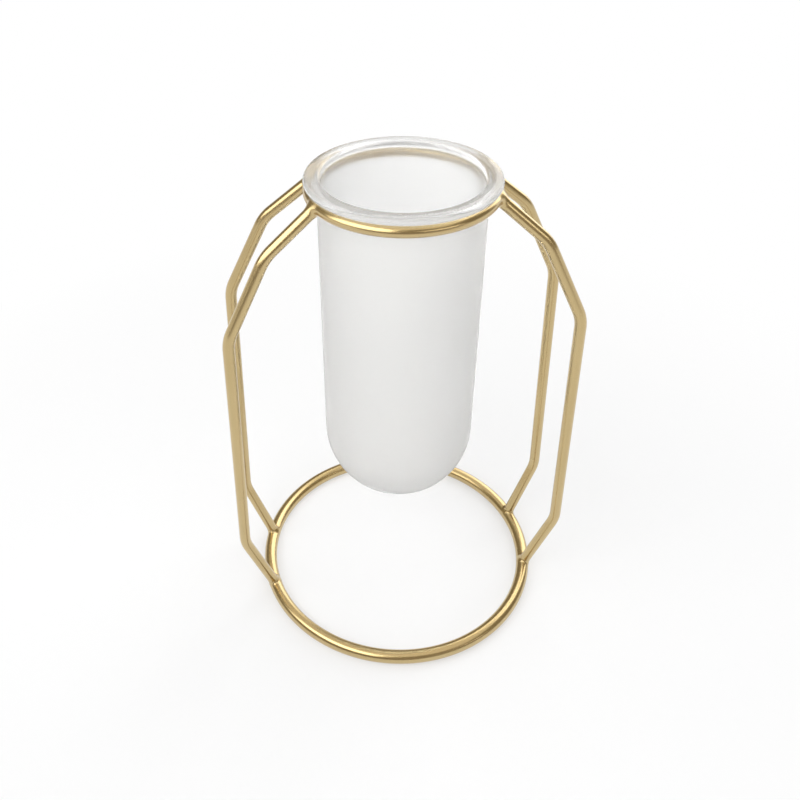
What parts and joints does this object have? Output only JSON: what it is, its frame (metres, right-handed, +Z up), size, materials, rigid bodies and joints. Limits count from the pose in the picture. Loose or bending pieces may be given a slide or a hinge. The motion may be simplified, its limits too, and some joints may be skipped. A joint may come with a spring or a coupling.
{
  "type": "test tube vase",
  "caption": "Frosted round-bottomed glass tube hung by its rolled lip in a bent brass wire frame on a ring base.",
  "frame": {"origin": "centre of the base ring's footprint, on the surface the vase stands on", "axes": "+Z up along the tube, +X through the right pair of legs, -Y towards the side the picture is taken from"},
  "size_m": [0.1238, 0.109, 0.1709],
  "materials": {
    "satin_brass": "satin",
    "frosted_glass": "frosted, with a clear fire-polished lip"
  },
  "bodies": {
    "frame": {"base_ring": "satin_brass", "top_ring": "satin_brass", "leg_front_left": "satin_brass", "leg_front_right": "satin_brass", "leg_rear_left": "satin_brass", "leg_rear_right": "satin_brass", "top_welds": "satin_brass", "foot_welds": "satin_brass"},
    "tube": {"glass_tube": "frosted_glass"}
  },
  "joints": [
    {"name": "tube_lift", "type": "slide", "parent": "frame", "child": "tube", "axis": [0, 0, 1], "range_m": [0, 0.16]}
  ]
}
